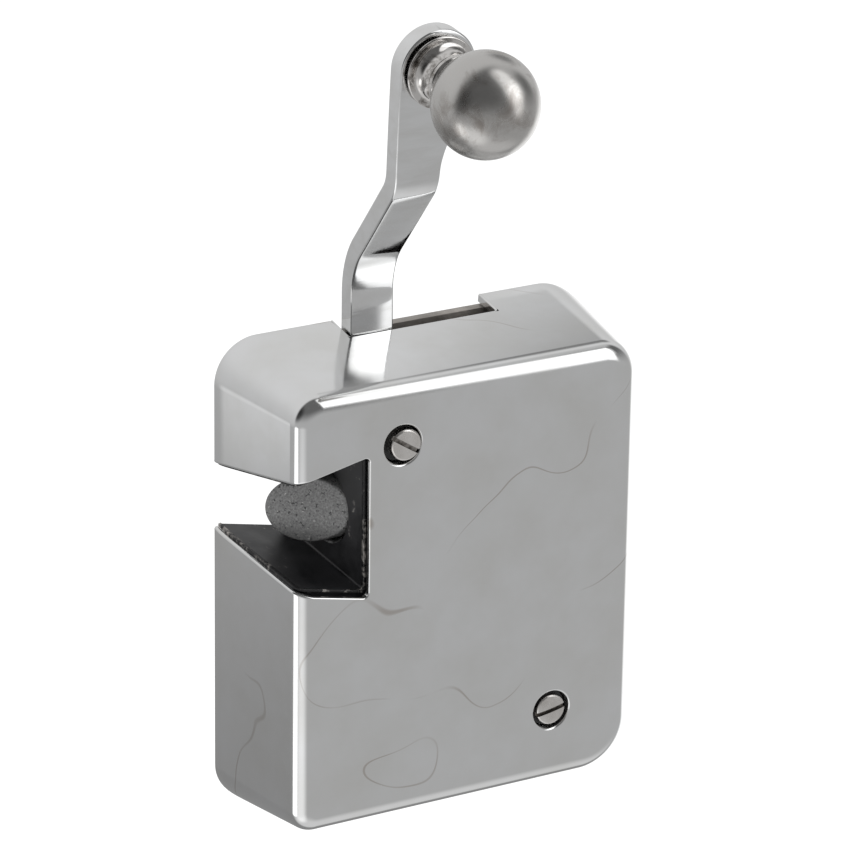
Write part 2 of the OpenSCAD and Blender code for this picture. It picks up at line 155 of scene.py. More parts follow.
def new_object(name, verts, faces, materials, face_material=None, sharp=32):
    """An object from points in millimetres; face_material is each face's place in materials."""
    mesh = bpy.data.meshes.new(name)
    mesh.from_pydata([tuple(c * MM for c in v) for v in verts], [], faces)
    for m in materials:
        mesh.materials.append(m)
    obj = bpy.data.objects.new(name, mesh)
    SCENE.collection.objects.link(obj)
    if face_material:
        for poly, index in zip(mesh.polygons, face_material):
            poly.material_index = index
    tidy_mesh(obj, sharp)
    return obj


def tidy_mesh(obj, sharp=32):
    """Outward normals, smooth shading, and sharp edges only where the shape turns sharply."""
    bm = bmesh.new()
    bm.from_mesh(obj.data)
    bmesh.ops.remove_doubles(bm, verts=bm.verts, dist=1e-7)
    bmesh.ops.recalc_face_normals(bm, faces=bm.faces)
    bm.to_mesh(obj.data)
    bm.free()
    obj.data.shade_smooth()
    obj.data.set_sharp_from_angle(angle=radians(sharp))


def flat_faces_lead(obj):
    """Wide flat faces keep their own normal where they meet narrow rounded ones."""
    m = obj.modifiers.new("normals", "WEIGHTED_NORMAL")
    m.keep_sharp = True
    m.weight = 90


def boolean(obj, other, operation="DIFFERENCE"):
    """obj cut by, joined with or limited to other, which is then removed."""
    m = obj.modifiers.new("cut", "BOOLEAN")
    m.operation = operation
    m.solver = "EXACT"
    m.object = other
    bpy.context.view_layer.update()
    with bpy.context.temp_override(object=obj, active_object=obj, selected_objects=[obj]):
        bpy.ops.object.modifier_apply(modifier=m.name)
    bpy.data.objects.remove(other)


def loft(rings, closed_ring=True, caps=True, close_path=False):
    """Points and faces of a skin over rings that all have the same number of points."""
    n = len(rings[0])
    verts = [p for ring in rings for p in ring]
    faces = []
    count = len(rings) if close_path else len(rings) - 1
    for i in range(count):
        a, b = i * n, ((i + 1) % len(rings)) * n
        for k in range(n if closed_ring else n - 1):
            j = (k + 1) % n
            faces.append((a + k, a + j, b + j, b + k))
    if caps and not close_path:
        faces.append(tuple(range(n)))
        faces.append(tuple(range(len(verts) - n, len(verts))))
    return verts, faces


def revolve(name, profile, place, materials, segments=128, face_material=None, sharp=32):
    """A turned solid: profile is (radius, height) along +Z, and place puts it in the part's frame."""
    rings = []
    for i in range(segments):
        a = 2 * pi * i / segments
        rings.append([place @ Vector((r * cos(a), r * sin(a), h)) for r, h in profile])
    closed = profile[0] == profile[-1]
    rings = [r[:-1] if closed else r for r in rings]
    verts, faces = loft(rings, closed_ring=closed, caps=False, close_path=True)
    shades = None
    if face_material:
        shades = [face_material[k % (len(profile) - 1)] for k in range(len(faces))]
    obj = new_object(name, verts, faces, materials, shades, sharp)
    bm = bmesh.new()
    bm.from_mesh(obj.data)
    bmesh.ops.dissolve_degenerate(bm, edges=bm.edges, dist=1e-8)
    bm.to_mesh(obj.data)
    bm.free()
    obj.data.set_sharp_from_angle(angle=radians(sharp))
    return obj


def arc(cx, cy, r, a0, a1, n):
    """Points of an arc from angle a0 to a1, in degrees."""
    turns = [radians(a0 + (a1 - a0) * i / n) for i in range(n + 1)]
    return [(cx + r * cos(a), cy + r * sin(a)) for a in turns]


def round_corner(p, a, b, r, n):
    """Points of the arc of radius r that rounds the corner at p between a and b."""
    p, a, b = Vector(p), Vector(a), Vector(b)
    ua, ub = (a - p).normalized(), (b - p).normalized()
    half = ua.angle(ub) / 2
    centre = p + (ua + ub).normalized() * r / sin(half)
    s, e = p + ua * r / tan(half) - centre, p + ub * r / tan(half) - centre
    a0 = atan2(s.y, s.x)
    turn = (atan2(e.y, e.x) - a0 + pi) % (2 * pi) - pi
    angles = [a0 + turn * i / n for i in range(n + 1)]
    return [tuple(centre + r * Vector((cos(a), sin(a)))) for a in angles]


def box_object(name, lo, hi, materials=()):
    """A plain block from the corner lo to the corner hi."""
    xs, ys, zs = zip(lo, hi)
    verts = [(x, y, z) for x in xs for y in ys for z in zs]
    faces = [(0, 1, 3, 2), (4, 6, 7, 5), (0, 4, 5, 1), (2, 3, 7, 6), (0, 2, 6, 4), (1, 5, 7, 3)]
    return new_object(name, verts, faces, materials)


def darken(cutter):
    """What this cutter cuts gets the second material."""
    for poly in cutter.data.polygons:
        poly.material_index = 1
    return cutter


def rod(name, place, r, z0, z1, segments=96, materials=()):
    """A plain round bar from z0 to z1 along the axis of place."""
    return cone(name, place, ((r, z0), (r, z1)), segments, materials)


def cone(name, place, ends, segments=96, materials=()):
    """A round solid that tapers between two ends, each (radius, height)."""
    rings = [[place @ Vector((r * cos(2 * pi * i / segments), r * sin(2 * pi * i / segments), z))
              for i in range(segments)] for r, z in ends]
    return new_object(name, *loft(rings), materials)


def facing(x, y, z, direction):
    """Places +Z along direction, with its origin at x, y, z."""
    aim = Vector(direction).to_track_quat("Z", "Y").to_matrix().to_4x4()
    return Matrix.Translation((x, y, z)) @ aim


def finish_piece(obj, body, slot, *nodes):
    """Puts a piece on its body and hides the CAD nodes that it stands in for; slot is not used."""
    flat_faces_lead(obj)
    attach(obj, body)
    if nodes:
        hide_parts(*nodes)
    return obj


# ---------- Materials ----------

class Nodes:
    """A material's node tree, with short calls for the few kinds of node used here."""

    def __init__(self, name, base, metallic, roughness):
        self.mat = bpy.data.materials.new(name)
        self.mat.use_nodes = True
        self.tree = self.mat.node_tree
        self.bsdf = self.tree.nodes["Principled BSDF"]
        self.bsdf.inputs["Base Color"].default_value = (*base, 1)
        self.bsdf.inputs["Metallic"].default_value = metallic
        self.bsdf.inputs["Roughness"].default_value = roughness
        self.coords = self.tree.nodes.new("ShaderNodeTexCoord").outputs["Object"]

    def node(self, kind, inputs=(), **settings):
        """A node whose inputs are linked, where the value is a socket, or set."""
        n = self.tree.nodes.new(kind)
        for key, value in settings.items():
            setattr(n, key, value)
        for key, value in dict(inputs).items():
            if isinstance(value, bpy.types.NodeSocket):
                self.tree.links.new(value, n.inputs[key])
            else:
                n.inputs[key].default_value = value
        return n

    def math(self, operation, a, b=0.0):
        """The result of a sum on one or two values or sockets."""
        return self.node("ShaderNodeMath", {0: a, 1: b}, operation=operation).outputs[0]

    def noise(self, scale, detail=3.0, rough=0.5, distort=0.0, stretch=None):
        """Noise in object space, where scale 1000 has features of about a millimetre."""
        where = self.coords
        if stretch:
            where = self.node("ShaderNodeMapping", {"Vector": where, "Scale": stretch}).outputs[0]
        return self.node("ShaderNodeTexNoise", {"Vector": where, "Scale": scale, "Detail": detail,
                                                "Roughness": rough,
                                                "Distortion": distort}).outputs["Fac"]

    def ramp(self, value, lo, hi, out_lo=0.0, out_hi=1.0):
        """value from lo to hi turned into out_lo to out_hi, and held outside them."""
        return self.node("ShaderNodeMapRange", {"Value": value, "From Min": lo, "From Max": hi,
                                                "To Min": out_lo, "To Max": out_hi}).outputs[0]

    def mix(self, factor, a, b):
        """Colour a where factor is 0 and colour b where it is 1."""
        n = self.node("ShaderNodeMix", {"Factor": factor}, data_type="RGBA")
        for socket, value in ((n.inputs[6], a), (n.inputs[7], b)):
            if isinstance(value, bpy.types.NodeSocket):
                self.tree.links.new(value, socket)
            else:
                socket.default_value = (*value, 1)
        return n.outputs[2]

    def set(self, socket, value):
        """Links value to the surface's own socket."""
        self.tree.links.new(value, self.bsdf.inputs[socket])

    def bump(self, *layers):
        """Each layer is (height, distance in metres)."""
        normal = None
        for height, distance in layers:
            n = self.node("ShaderNodeBump", {"Height": height, "Distance": distance, "Strength": 1.0})
            if normal:
                self.tree.links.new(normal, n.inputs["Normal"])
            normal = n.outputs[0]
        self.set("Normal", normal)


def chrome():
    """Polished plate: faint waves, fine hairlines, a slight clouding and thin dried water marks."""
    m = Nodes("chrome", (0.74, 0.745, 0.75), 1.0, 0.1)
    cloud = m.noise(90, 3, 0.6)
    hair = m.noise(700, 2, 0.5, 0.3, (1, 1, 0.12))
    plate = m.mix(m.ramp(cloud, 0.35, 0.7), (0.765, 0.77, 0.775), (0.715, 0.715, 0.705))
    level = m.noise(28, 2, 0.45, 0.3)
    line = m.ramp(m.math("ABSOLUTE", m.math("SUBTRACT", level, 0.52)), 0.0009, 0.0030, 1.0, 0.0)
    where = m.ramp(m.noise(50, 2, 0.5), 0.42, 0.56)
    mark = m.math("MULTIPLY", m.math("MULTIPLY", line, where), 0.5)
    m.set("Base Color", m.mix(mark, plate, (0.36, 0.31, 0.26)))
    m.set("Roughness", m.ramp(m.math("ADD", cloud, m.math("MULTIPLY", hair, 0.4)), 0.4, 1.0, 0.07, 0.16))
    m.bump((m.noise(45, 1, 0.4), 0.00004), (hair, 0.0000006))
    return m.mat


def lever_chrome():
    """Chrome on the hand-finished lever, with streaks across it."""
    m = Nodes("lever_chrome", (0.74, 0.745, 0.75), 1.0, 0.08)
    streak = m.noise(330, 4, 0.6, 0.4, (0.35, 1, 1.6))
    patch = m.ramp(m.noise(75, 2, 0.5), 0.46, 0.62)
    m.set("Base Color", m.mix(m.ramp(streak, 0.35, 0.7), (0.765, 0.77, 0.775), (0.70, 0.70, 0.695)))
    m.set("Roughness", m.ramp(streak, 0.35, 0.7, 0.05, 0.13))
    m.bump((m.noise(60, 1, 0.4), 0.00004), (m.math("MULTIPLY", streak, patch), 0.000012))
    return m.mat


def knob_polish():
    """Brightly turned nickel on the knob's foot and neck, with dark patches scattered over them."""
    m = Nodes("knob_polish", (0.60, 0.585, 0.565), 1.0, 0.1)
    dark_patches = m.noise(420, 4, 0.65, 0.6)
    m.set("Base Color", m.mix(m.ramp(dark_patches, 0.5, 0.68), (0.64, 0.625, 0.61), (0.16, 0.145, 0.13)))
    m.set("Roughness", m.ramp(dark_patches, 0.35, 0.7, 0.06, 0.22))
    m.bump((m.noise(160, 1, 0.4), 0.00006))
    return m.mat


def nickel():
    """Warmer and duller than the chrome, with smudges."""
    m = Nodes("nickel", (0.50, 0.485, 0.465), 1.0, 0.2)
    smudge = m.noise(230, 5, 0.65, 0.6)
    patch = m.noise(110, 3, 0.5)
    dirt = m.ramp(m.math("ADD", smudge, m.math("MULTIPLY", patch, 0.6)), 0.80, 1.02)
    m.set("Base Color", m.mix(dirt, (0.53, 0.52, 0.505), (0.33, 0.305, 0.285)))
    m.set("Roughness", m.ramp(m.math("ADD", patch, smudge), 0.7, 1.3, 0.20, 0.30))
    m.bump((smudge, 0.0000015))
    return m.mat


def screw_nickel():
    """Turned screw heads with fine scratches."""
    m = Nodes("screw_nickel", (0.70, 0.685, 0.665), 1.0, 0.25)
    scratch = m.noise(1500, 3, 0.6, 0.2, (1, 1, 0.1))
    patch = m.noise(400, 2, 0.5)
    m.set("Base Color", m.mix(m.ramp(patch, 0.35, 0.7), (0.76, 0.74, 0.72), (0.60, 0.575, 0.55)))
    m.set("Roughness", m.ramp(m.math("ADD", patch, scratch), 0.7, 1.3, 0.18, 0.34))
    m.bump((scratch, 0.000003))
    return m.mat


def black_satin():
    """Satin black paint with a faint mottle, and bright specks where it has chipped."""
    m = Nodes("black_satin", (0.02, 0.02, 0.021), 0.0, 0.35)
    mottle = m.noise(260, 5, 0.65, 0.4)
    speck = m.noise(900, 3, 0.6)
    chipped = m.ramp(m.math("MULTIPLY", m.ramp(mottle, 0.5, 0.68), m.ramp(speck, 0.60, 0.66)), 0.2, 1.0)
    paint = m.mix(m.ramp(mottle, 0.35, 0.7), (0.006, 0.006, 0.007), (0.022, 0.022, 0.024))
    m.set("Base Color", m.mix(chipped, paint, (0.20, 0.19, 0.18)))
    m.set("Roughness", m.ramp(mottle, 0.3, 0.7, 0.28, 0.5))
    m.bump((mottle, 0.000012), (speck, 0.000003))
    return m.mat


def worn_edge():
    """The pocket's front edge, where the paint has worn to the metal in patches."""
    m = Nodes("worn_edge", (0.03, 0.03, 0.03), 0.35, 0.3)
    patch = m.noise(420, 4, 0.7, 0.5, (0.5, 0.5, 0.5))
    fine = m.noise(1500, 3, 0.6)
    worn = m.ramp(m.math("ADD", patch, m.math("MULTIPLY", fine, 0.35)), 0.71, 0.85)
    m.set("Base Color", m.mix(worn, (0.012, 0.012, 0.013), (0.34, 0.32, 0.30)))
    m.set("Roughness", m.ramp(fine, 0.3, 0.7, 0.22, 0.42))
    m.bump((fine, 0.000006))
    return m.mat


def dark_plate():
    """Browned steel."""
    m = Nodes("dark_plate", (0.085, 0.078, 0.072), 0.6, 0.45)
    stain = m.noise(160, 5, 0.6, 0.5)
    streak = m.noise(500, 3, 0.6, 0.2, (0.08, 1, 1))
    m.set("Base Color", m.mix(m.ramp(stain, 0.35, 0.7), (0.20, 0.185, 0.17), (0.42, 0.39, 0.36)))
    m.set("Roughness", m.ramp(streak, 0.3, 0.7, 0.36, 0.55))
    m.bump((streak, 0.000006))
    return m.mat


def inside_dark():
    """The unplated, oily inside of the cover."""
    m = Nodes("inside_dark", (0.02, 0.02, 0.019), 0.5, 0.5)
    stain = m.noise(200, 4, 0.6)
    m.set("Base Color", m.mix(m.ramp(stain, 0.35, 0.7), (0.012, 0.012, 0.012), (0.035, 0.033, 0.030)))
    return m.mat


def grey_steel():
    """Dull sintered-looking steel with light and dark grains."""
    m = Nodes("grey_steel", (0.19, 0.19, 0.19), 0.35, 0.5)
    grain = m.noise(3600, 3, 0.7)
    coarse = m.noise(1500, 3, 0.6)
    base = m.mix(m.ramp(grain, 0.36, 0.66), (0.13, 0.131, 0.131), (0.27, 0.27, 0.268))
    light = m.ramp(m.math("ADD", grain, m.math("MULTIPLY", coarse, 0.5)), 0.93, 0.99)
    dark = m.ramp(m.math("SUBTRACT", coarse, m.math("MULTIPLY", grain, 0.5)), 0.36, 0.40)
    base = m.mix(light, base, (0.60, 0.60, 0.58))
    base = m.mix(dark, base, (0.05, 0.05, 0.05))
    # Painted shadow: the bolt darkens towards the bottom
    height = m.node("ShaderNodeSeparateXYZ", {"Vector": m.coords}).outputs[2]
    painted_shadow = m.ramp(height, (BOLT_Z - 4.2) * MM, (BOLT_Z - 1.6) * MM, 0.62, 0.0)
    m.set("Base Color", m.mix(painted_shadow, base, (0.03, 0.03, 0.03)))
    m.set("Roughness", m.ramp(grain, 0.3, 0.7, 0.42, 0.6))
    m.bump((grain, 0.000006))
    return m.mat


def bright_steel():
    """Machined steel."""
    m = Nodes("bright_steel", (0.5, 0.5, 0.49), 1.0, 0.3)
    turned = m.noise(900, 3, 0.6, 0.1, (1, 0.1, 1))
    patch = m.noise(150, 3, 0.5)
    m.set("Base Color", m.mix(m.ramp(patch, 0.35, 0.7), (0.56, 0.56, 0.55), (0.42, 0.41, 0.40)))
    m.set("Roughness", m.ramp(turned, 0.3, 0.7, 0.22, 0.4))
    m.bump((turned, 0.000005))
    return m.mat


def painted_shade_gloss():
    """Black gloss in the bottom of the screw recesses: painted shade and painted dark reflection, with faint
    blots.
    """
    m = Nodes("recess_painted_shade", (0.012, 0.012, 0.012), 0.0, 0.16)
    blot = m.noise(700, 3, 0.6, 0.5)
    m.set("Base Color", m.mix(m.ramp(blot, 0.55, 0.68), (0.006, 0.006, 0.006), (0.05, 0.05, 0.048)))
    m.set("Roughness", m.ramp(blot, 0.4, 0.7, 0.10, 0.3))
    m.bump((blot, 0.00002))
    return m.mat


def slot_painted_shade():
    """Darker metal in the sawn slots of the screws: painted shade, with dark tarnish spots."""
    m = Nodes("slot_painted_shade", (0.26, 0.245, 0.23), 1.0, 0.4)
    spots = m.noise(1400, 3, 0.6)
    m.set("Base Color", m.mix(m.ramp(spots, 0.4, 0.65), (0.34, 0.32, 0.30), (0.11, 0.10, 0.09)))
    m.set("Roughness", m.ramp(spots, 0.4, 0.7, 0.3, 0.5))
    return m.mat


CHROME, LEVER_CHROME = chrome(), lever_chrome()
RECESS_SHADE_PAINT, SLOT_SHADE_PAINT = painted_shade_gloss(), slot_painted_shade()
KNOB_POLISH, NICKEL, SCREW_NICKEL = knob_polish(), nickel(), screw_nickel()
BLACK, WORN, PLATE, INSIDE = black_satin(), worn_edge(), dark_plate(), inside_dark()
GREY, STEEL = grey_steel(), bright_steel()


# ---------- Camera, floor and light ----------

# The photograph's view: a long lens, from the left and above
VIEW_SIDE, VIEW_UP, VIEW_ROLL = radians(29.1546), radians(21.9141), radians(0.8402)
LOOK_AT, DISTANCE = (-6.383, -18.935, 25.819), 700.0
LENS, SENSOR = 210.59, 36.0


def camera():
    """The camera, DISTANCE back from LOOK_AT."""
    data = bpy.data.cameras.new("camera")
    data.lens, data.sensor_width = LENS, SENSOR
    data.clip_start, data.clip_end = 0.05, 50
    obj = bpy.data.objects.new("camera", data)
    turn = Matrix.Rotation(-VIEW_SIDE, 4, "Z") @ Matrix.Rotation(pi / 2 - VIEW_UP, 4, "X")
    turn = turn @ Matrix.Rotation(VIEW_ROLL, 4, "Z")
    back = Matrix.Translation((0, 0, DISTANCE * MM))
    obj.matrix_world = Matrix.Translation(Vector(LOOK_AT) * MM) @ turn @ back
    SCENE.collection.objects.link(obj)
    SCENE.camera = obj


# Soft lights round the object: direction, half width and half height in degrees, softness, brightness
GLOW = (
    ((0.45, -0.60, 0.66), 12, 39, 0.14, 1.15),
    ((0.51, -0.60, 0.62), 13, 13, 0.6, 1.1),
    ((-0.895, -0.15, -0.42), 11, 14, 0.2, 1.2),
)
# Patches of the walls behind and of the room in front: direction, spread in degrees, and the
# brightness that is gained, or the share of it that a shade takes away, in the middle
BACK_GAINS = (((-0.75, 0.62, -0.22), 8, 0.28), ((0.80, 0.46, -0.34), 36, 0.85))
BACK_SHADE = ((0.545, 0.410, 0.731), 16.5, 0.68)
FRONT_GAINS = (((0.44, -0.05, 0.90), 20, 0.42), ((-0.60, -0.54, -0.59), 32, 0.55))
FRONT_SHADE = ((-0.87, -0.10, 0.48), 32, 0.75)
DOME_R, DOME_AROUND, DOME_DOWN = 0.30, 240, 120


def smooth(a, b, x):
    """0 up to a, 1 from b on, and an even curve between them."""
    t = min(max((x - a) / (b - a), 0), 1)
    return t * t * (3 - 2 * t)


def patch(d, centre, spread):
    """1 in the middle of a round patch of the dome, fading to 0 at spread degrees from it."""
    away = degrees(d.angle(Vector(centre)))
    return 1 - smooth(0.3 * spread, spread, away)


def glow(d):
    """Brightness seen in direction d: pale walls behind, a darker room in front, and soft lights."""
    back = 0.28 + 0.34 * smooth(-0.6, 0.05, d.z) + 0.15 * smooth(0, 0.7, d.z)
    front = 0.15 + 0.34 * (1 - smooth(0, 0.6, d.z)) + 0.25 * smooth(0.55, 0.85, -d.z)
    back += sum(gain * patch(d, centre, spread) for centre, spread, gain in BACK_GAINS)
    centre, spread, loss = BACK_SHADE
    back *= 1 - loss * patch(d, centre, spread)
    centre, spread, loss = FRONT_SHADE
    front *= 1 - loss * patch(d, centre, spread)
    front += sum(gain * patch(d, centre, spread) for centre, spread, gain in FRONT_GAINS)
    value = front + (back - front) * smooth(-0.10, 0.10, d.y)
    for centre, wide, high, soft, power in GLOW:
        c = Vector(centre).normalized()
        if d.dot(c) <= 0.1:
            continue
        side = Vector((0, 0, 1)).cross(c).normalized()
        top = c.cross(side)
        u = abs(degrees(atan2(d.dot(side), d.dot(c)))) / wide
        v = abs(degrees(atan2(d.dot(top), d.dot(c)))) / high
        edge = (u ** 3 + v ** 3) ** (1 / 3)
        value += power * (1 - smooth(1 - soft, 1 + soft, edge))
    return value


def dome_mesh():
    """A sphere round the object with its brightness as a colour at each point."""
    verts, faces = [], []
    for j in range(DOME_DOWN + 1):
        el = pi * j / DOME_DOWN - pi / 2
        for i in range(DOME_AROUND):
            az = 2 * pi * i / DOME_AROUND
            verts.append((DOME_R * cos(el) * cos(az), DOME_R * cos(el) * sin(az), DOME_R * sin(el)))
    for j in range(DOME_DOWN):
        row, above = j * DOME_AROUND, (j + 1) * DOME_AROUND
        for i in range(DOME_AROUND):
            k = (i + 1) % DOME_AROUND
            faces.append((row + i, row + k, above + k, above + i))
    mesh = bpy.data.meshes.new("studio_dome")
    mesh.from_pydata(verts, [], faces)
    colours = mesh.color_attributes.new("glow", "FLOAT_COLOR", "POINT")
    for i, v in enumerate(verts):
        value = glow(Vector(v).normalized())
        colours.data[i].color = (value, value, value, 1)
    mesh.shade_smooth()
    return mesh


def reflections():
    """A glowing dome that only shiny surfaces see."""
    mesh = dome_mesh()
    mat = bpy.data.materials.new("studio_dome")
    mat.use_nodes = True
    tree = mat.node_tree
    tree.nodes.clear()
    attribute = tree.nodes.new("ShaderNodeAttribute")
    attribute.attribute_name = "glow"
    emission = tree.nodes.new("ShaderNodeEmission")
    out = tree.nodes.new("ShaderNodeOutputMaterial")
    tree.links.new(attribute.outputs["Color"], emission.inputs["Color"])
    tree.links.new(emission.outputs[0], out.inputs[0])
    mat.cycles.emission_sampling = "NONE"
    mesh.materials.append(mat)
    dome = bpy.data.objects.new("studio_dome", mesh)
    SCENE.collection.objects.link(dome)
    dome.visible_camera = dome.visible_diffuse = dome.visible_shadow = False
    dome.visible_transmission = dome.visible_volume_scatter = False


# Floor, in metres: half its size, and how far below the part it lies
FLOOR_HALF, FLOOR_DROP = 30.0, 0.16
# Key light, in metres and watts
KEY_AT, KEY_SIZE, KEY_POWER = (-0.3, -0.9, 1.1), 0.8, 3.0


def white_world():
    """Plain white surroundings, and colours shown as they are."""
    SCENE.view_settings.view_transform = "Standard"
    SCENE.view_settings.look = "None"
    world = bpy.data.worlds.new("studio")
    world.use_nodes = True
    world.node_tree.nodes["Background"].inputs["Color"].default_value = (1, 1, 1, 1)
    world.node_tree.nodes["Background"].inputs["Strength"].default_value = 1.0
    SCENE.world = world


def floor():
    """A plain pale floor that nothing reflects."""
    z = CAD_BOX[0][2] - FLOOR_DROP
    square = [(x * FLOOR_HALF, y * FLOOR_HALF, z) for x, y in ((-1, -1), (1, -1), (1, 1), (-1, 1))]
    mesh = bpy.data.meshes.new("floor")
    mesh.from_pydata(square, [], [(0, 1, 2, 3)])
    mat = bpy.data.materials.new("floor")
    mat.use_nodes = True
    bsdf = mat.node_tree.nodes["Principled BSDF"]
    bsdf.inputs["Base Color"].default_value = (0.96, 0.96, 0.96, 1)
    bsdf.inputs["Roughness"].default_value = 0.9
    bsdf.inputs["Specular IOR Level"].default_value = 0.0
    bsdf.inputs["Emission Color"].default_value = (1, 1, 1, 1)
    bsdf.inputs["Emission Strength"].default_value = 0.12
    mesh.materials.append(mat)
    obj = bpy.data.objects.new("floor", mesh)
    SCENE.collection.objects.link(obj)
    obj.visible_glossy = False


def key_light():
    """A broad soft light that shines down and back from the upper front."""
    key = bpy.data.lights.new("key", "AREA")
    key.shape, key.size, key.size_y, key.energy = "RECTANGLE", KEY_SIZE, KEY_SIZE, KEY_POWER
    lamp = bpy.data.objects.new("key", key)
    lamp.matrix_world = facing(*KEY_AT, (-0.3, -0.9, 1.05))
    lamp.visible_glossy = False
    SCENE.collection.objects.link(lamp)


camera()
white_world()
floor()
key_light()
reflections()


# ---------- Cover ----------

def draft_at(y):
    """How far the side has drawn in at depth y."""
    return -DRAFT * y / -FRONT_Y


def skin(g=0.0, sink=None):
    """(inset, y, outward x, outward y) from the back edge to the front face, at g inside the cover's
    sides and sink behind its front face."""
    sink = g if sink is None else sink
    r = EDGE_R - max(g, sink)
    edge_y = FRONT_Y + sink + r
    rows = []
    turn_rise, side_steps, edge_steps = 0.06, 6, 18
    # The turn at the back
    for t in range(0, 91, 15):
        a = radians(t)
        y = -TURN_LEN * (1 - cos(a))
        rows.append((draft_at(y) + BACK_TURN * (1 - sin(a)) + g, y, 1.0,
                     turn_rise * cos(a) - sin(DRAFT_ANGLE)))
    # The drafted side
    for i in range(1, side_steps):
        y = -TURN_LEN + (edge_y + TURN_LEN) * i / side_steps
        rows.append((draft_at(y) + g / cos(DRAFT_ANGLE), y, cos(DRAFT_ANGLE), -sin(DRAFT_ANGLE)))
    # The round at the front
    centre = draft_at(edge_y) + (g + r) / cos(DRAFT_ANGLE)
    for i in range(edge_steps + 1):
        a = DRAFT_ANGLE + (pi / 2 - DRAFT_ANGLE) * i / edge_steps
        rows.append((centre - r * cos(a), edge_y - r * sin(a), cos(a), -sin(a)))
    return rows


def case_ring(inset, y, n=20):
    """Outline of the case at depth y, its corners rounded about fixed centres."""
    ring = []
    for k, (sx, sz, r) in enumerate(CORNERS):
        cx, cz = sx * (CASE_W / 2 - r), sz * (CASE_H / 2 - r)
        ring += [(x, y, z) for x, z in arc(cx, cz, r - inset, 90 * k, 90 * (k + 1), n)]
    return ring


def case_solid(name, g, materials, sink=None):
    """The case's outside, filled, with all of it moved in as skin() does."""
    rings = [case_ring(inset, y) for inset, y, _, _ in skin(g, sink)]
    return new_object(name, *loft(rings), materials)


def mouth_outline(y, grow, corner, side=None, n=10):
    """Outline of the mouth in X and Z at depth y, its floor and roof moved out by grow and its inner
    wall by side, with its inner corners rounded."""
    rise = grow * hypot(1, MOUTH_SLOPE)
    xi = MOUTH_X - SIDE_FLARE * (y - FRONT_Y) + (grow if side is None else side)
    low = MOUTH_LOW + MOUTH_FLARE * (y - FRONT_Y) - rise
    high = MOUTH_HIGH - MOUTH_FLARE * (y - FRONT_Y) + rise
    outer = -42

    def at_low(x):
        return (x, low + MOUTH_SLOPE * (MOUTH_X - x))

    def at_high(x):
        return (x, high - MOUTH_SLOPE * (MOUTH_X - x))

    low_corner = round_corner(at_low(xi), at_low(xi - PAST_SIDE), at_high(xi), corner, n)
    high_corner = round_corner(at_high(xi), at_low(xi), at_high(xi - PAST_SIDE), corner, n)
    return [at_low(outer)] + low_corner + high_corner + [at_high(outer)]


def mouth_block(name, grow, corner, side=None, back=PAST_BACK, materials=()):
    """A solid that fills the mouth, from in front of the case to the depth back."""
    depths = (PAST_FRONT, back)
    rings = [[(x, y, z) for x, z in mouth_outline(y, grow, corner, side)] for y in depths]
    return new_object(name, *loft(rings), materials)


def mouth_path(g, sink, grow, corner, side=None):
    """The mouth's edge along skin(g, sink): (point, outward normal) from the lower back, round the
    front, to the upper back."""
    rows = skin(g, sink)
    front_y = rows[-1][1]
    outline = mouth_outline(front_y, grow, corner, side)
    lower, upper = [], []
    for inset, y, nx, ny in rows:
        x = -(CASE_W / 2 - inset)
        at = mouth_outline(y, grow, corner, side)
        normal = Vector((-nx, ny, 0)).normalized()
        slope = MOUTH_SLOPE * (at[0][0] - x)
        lower.append((Vector((x, y, at[0][1] + slope)), normal))
        upper.append((Vector((x, y, at[-1][1] - slope)), normal))
    flat = [(Vector((x, front_y, z)), Vector((0, -1, 0))) for x, z in outline[1:-1]]
    return lower + flat + upper[::-1]


def rim(name, path, profile, materials):
    """A strip swept along path: profile is (towards the opening, into the wall)."""
    rings = []
    for i, (p, n) in enumerate(path):
        ahead = path[min(i + 1, len(path) - 1)][0] - path[max(i - 1, 0)][0]
        towards = n.cross(ahead).normalized()
        rings.append([p + towards * a - n * b for a, b in profile])
    verts, faces = loft(rings)
    return new_object(name, verts, faces, materials)


def edge_profile(r, flat, wall, n=8):
    """Section of a rounded edge: a short flat, a quarter round, and down the wall's thickness."""
    angles = [radians(90 * i / n) for i in range(n + 1)]
    rounded = [(-r + r * sin(a), r - r * cos(a)) for a in angles]
    return [(-(r + flat), 0)] + rounded + [(0, wall), (-(r + flat), wall)]


def slot_path():
    """The slot's edge on the top of the case, from the left back, round the front, to the right back."""
    def on_top(x, y):
        return (Vector((x, y, CASE_H / 2 - draft_at(y))), Vector((0, -sin(DRAFT_ANGLE), cos(DRAFT_ANGLE))))

    left, right = SLOT_X
    front = SLOT_FRONT
    bend = round_corner((left, front), (left, 0), (right, front), SLOT_CORNER, 8)
    bend += round_corner((right, front), (left, front), (right, 0), SLOT_CORNER, 8)
    ends = [-0.4 - i for i in range(5)]
    path = [on_top(left, y) for y in ends] + [on_top(x, y) for x, y in bend]
    return path + [on_top(right, y) for y in ends[::-1]]


def cover_hollow():
    """The inside of the cover, which runs on past its back edge."""
    hollow = case_solid("hollow", WALL, (CHROME, INSIDE))
    back = max(v.co.y for v in hollow.data.vertices)
    for v in hollow.data.vertices:
        if v.co.y > back - 1e-6:
            v.co.y += 1 * MM
    return darken(hollow)


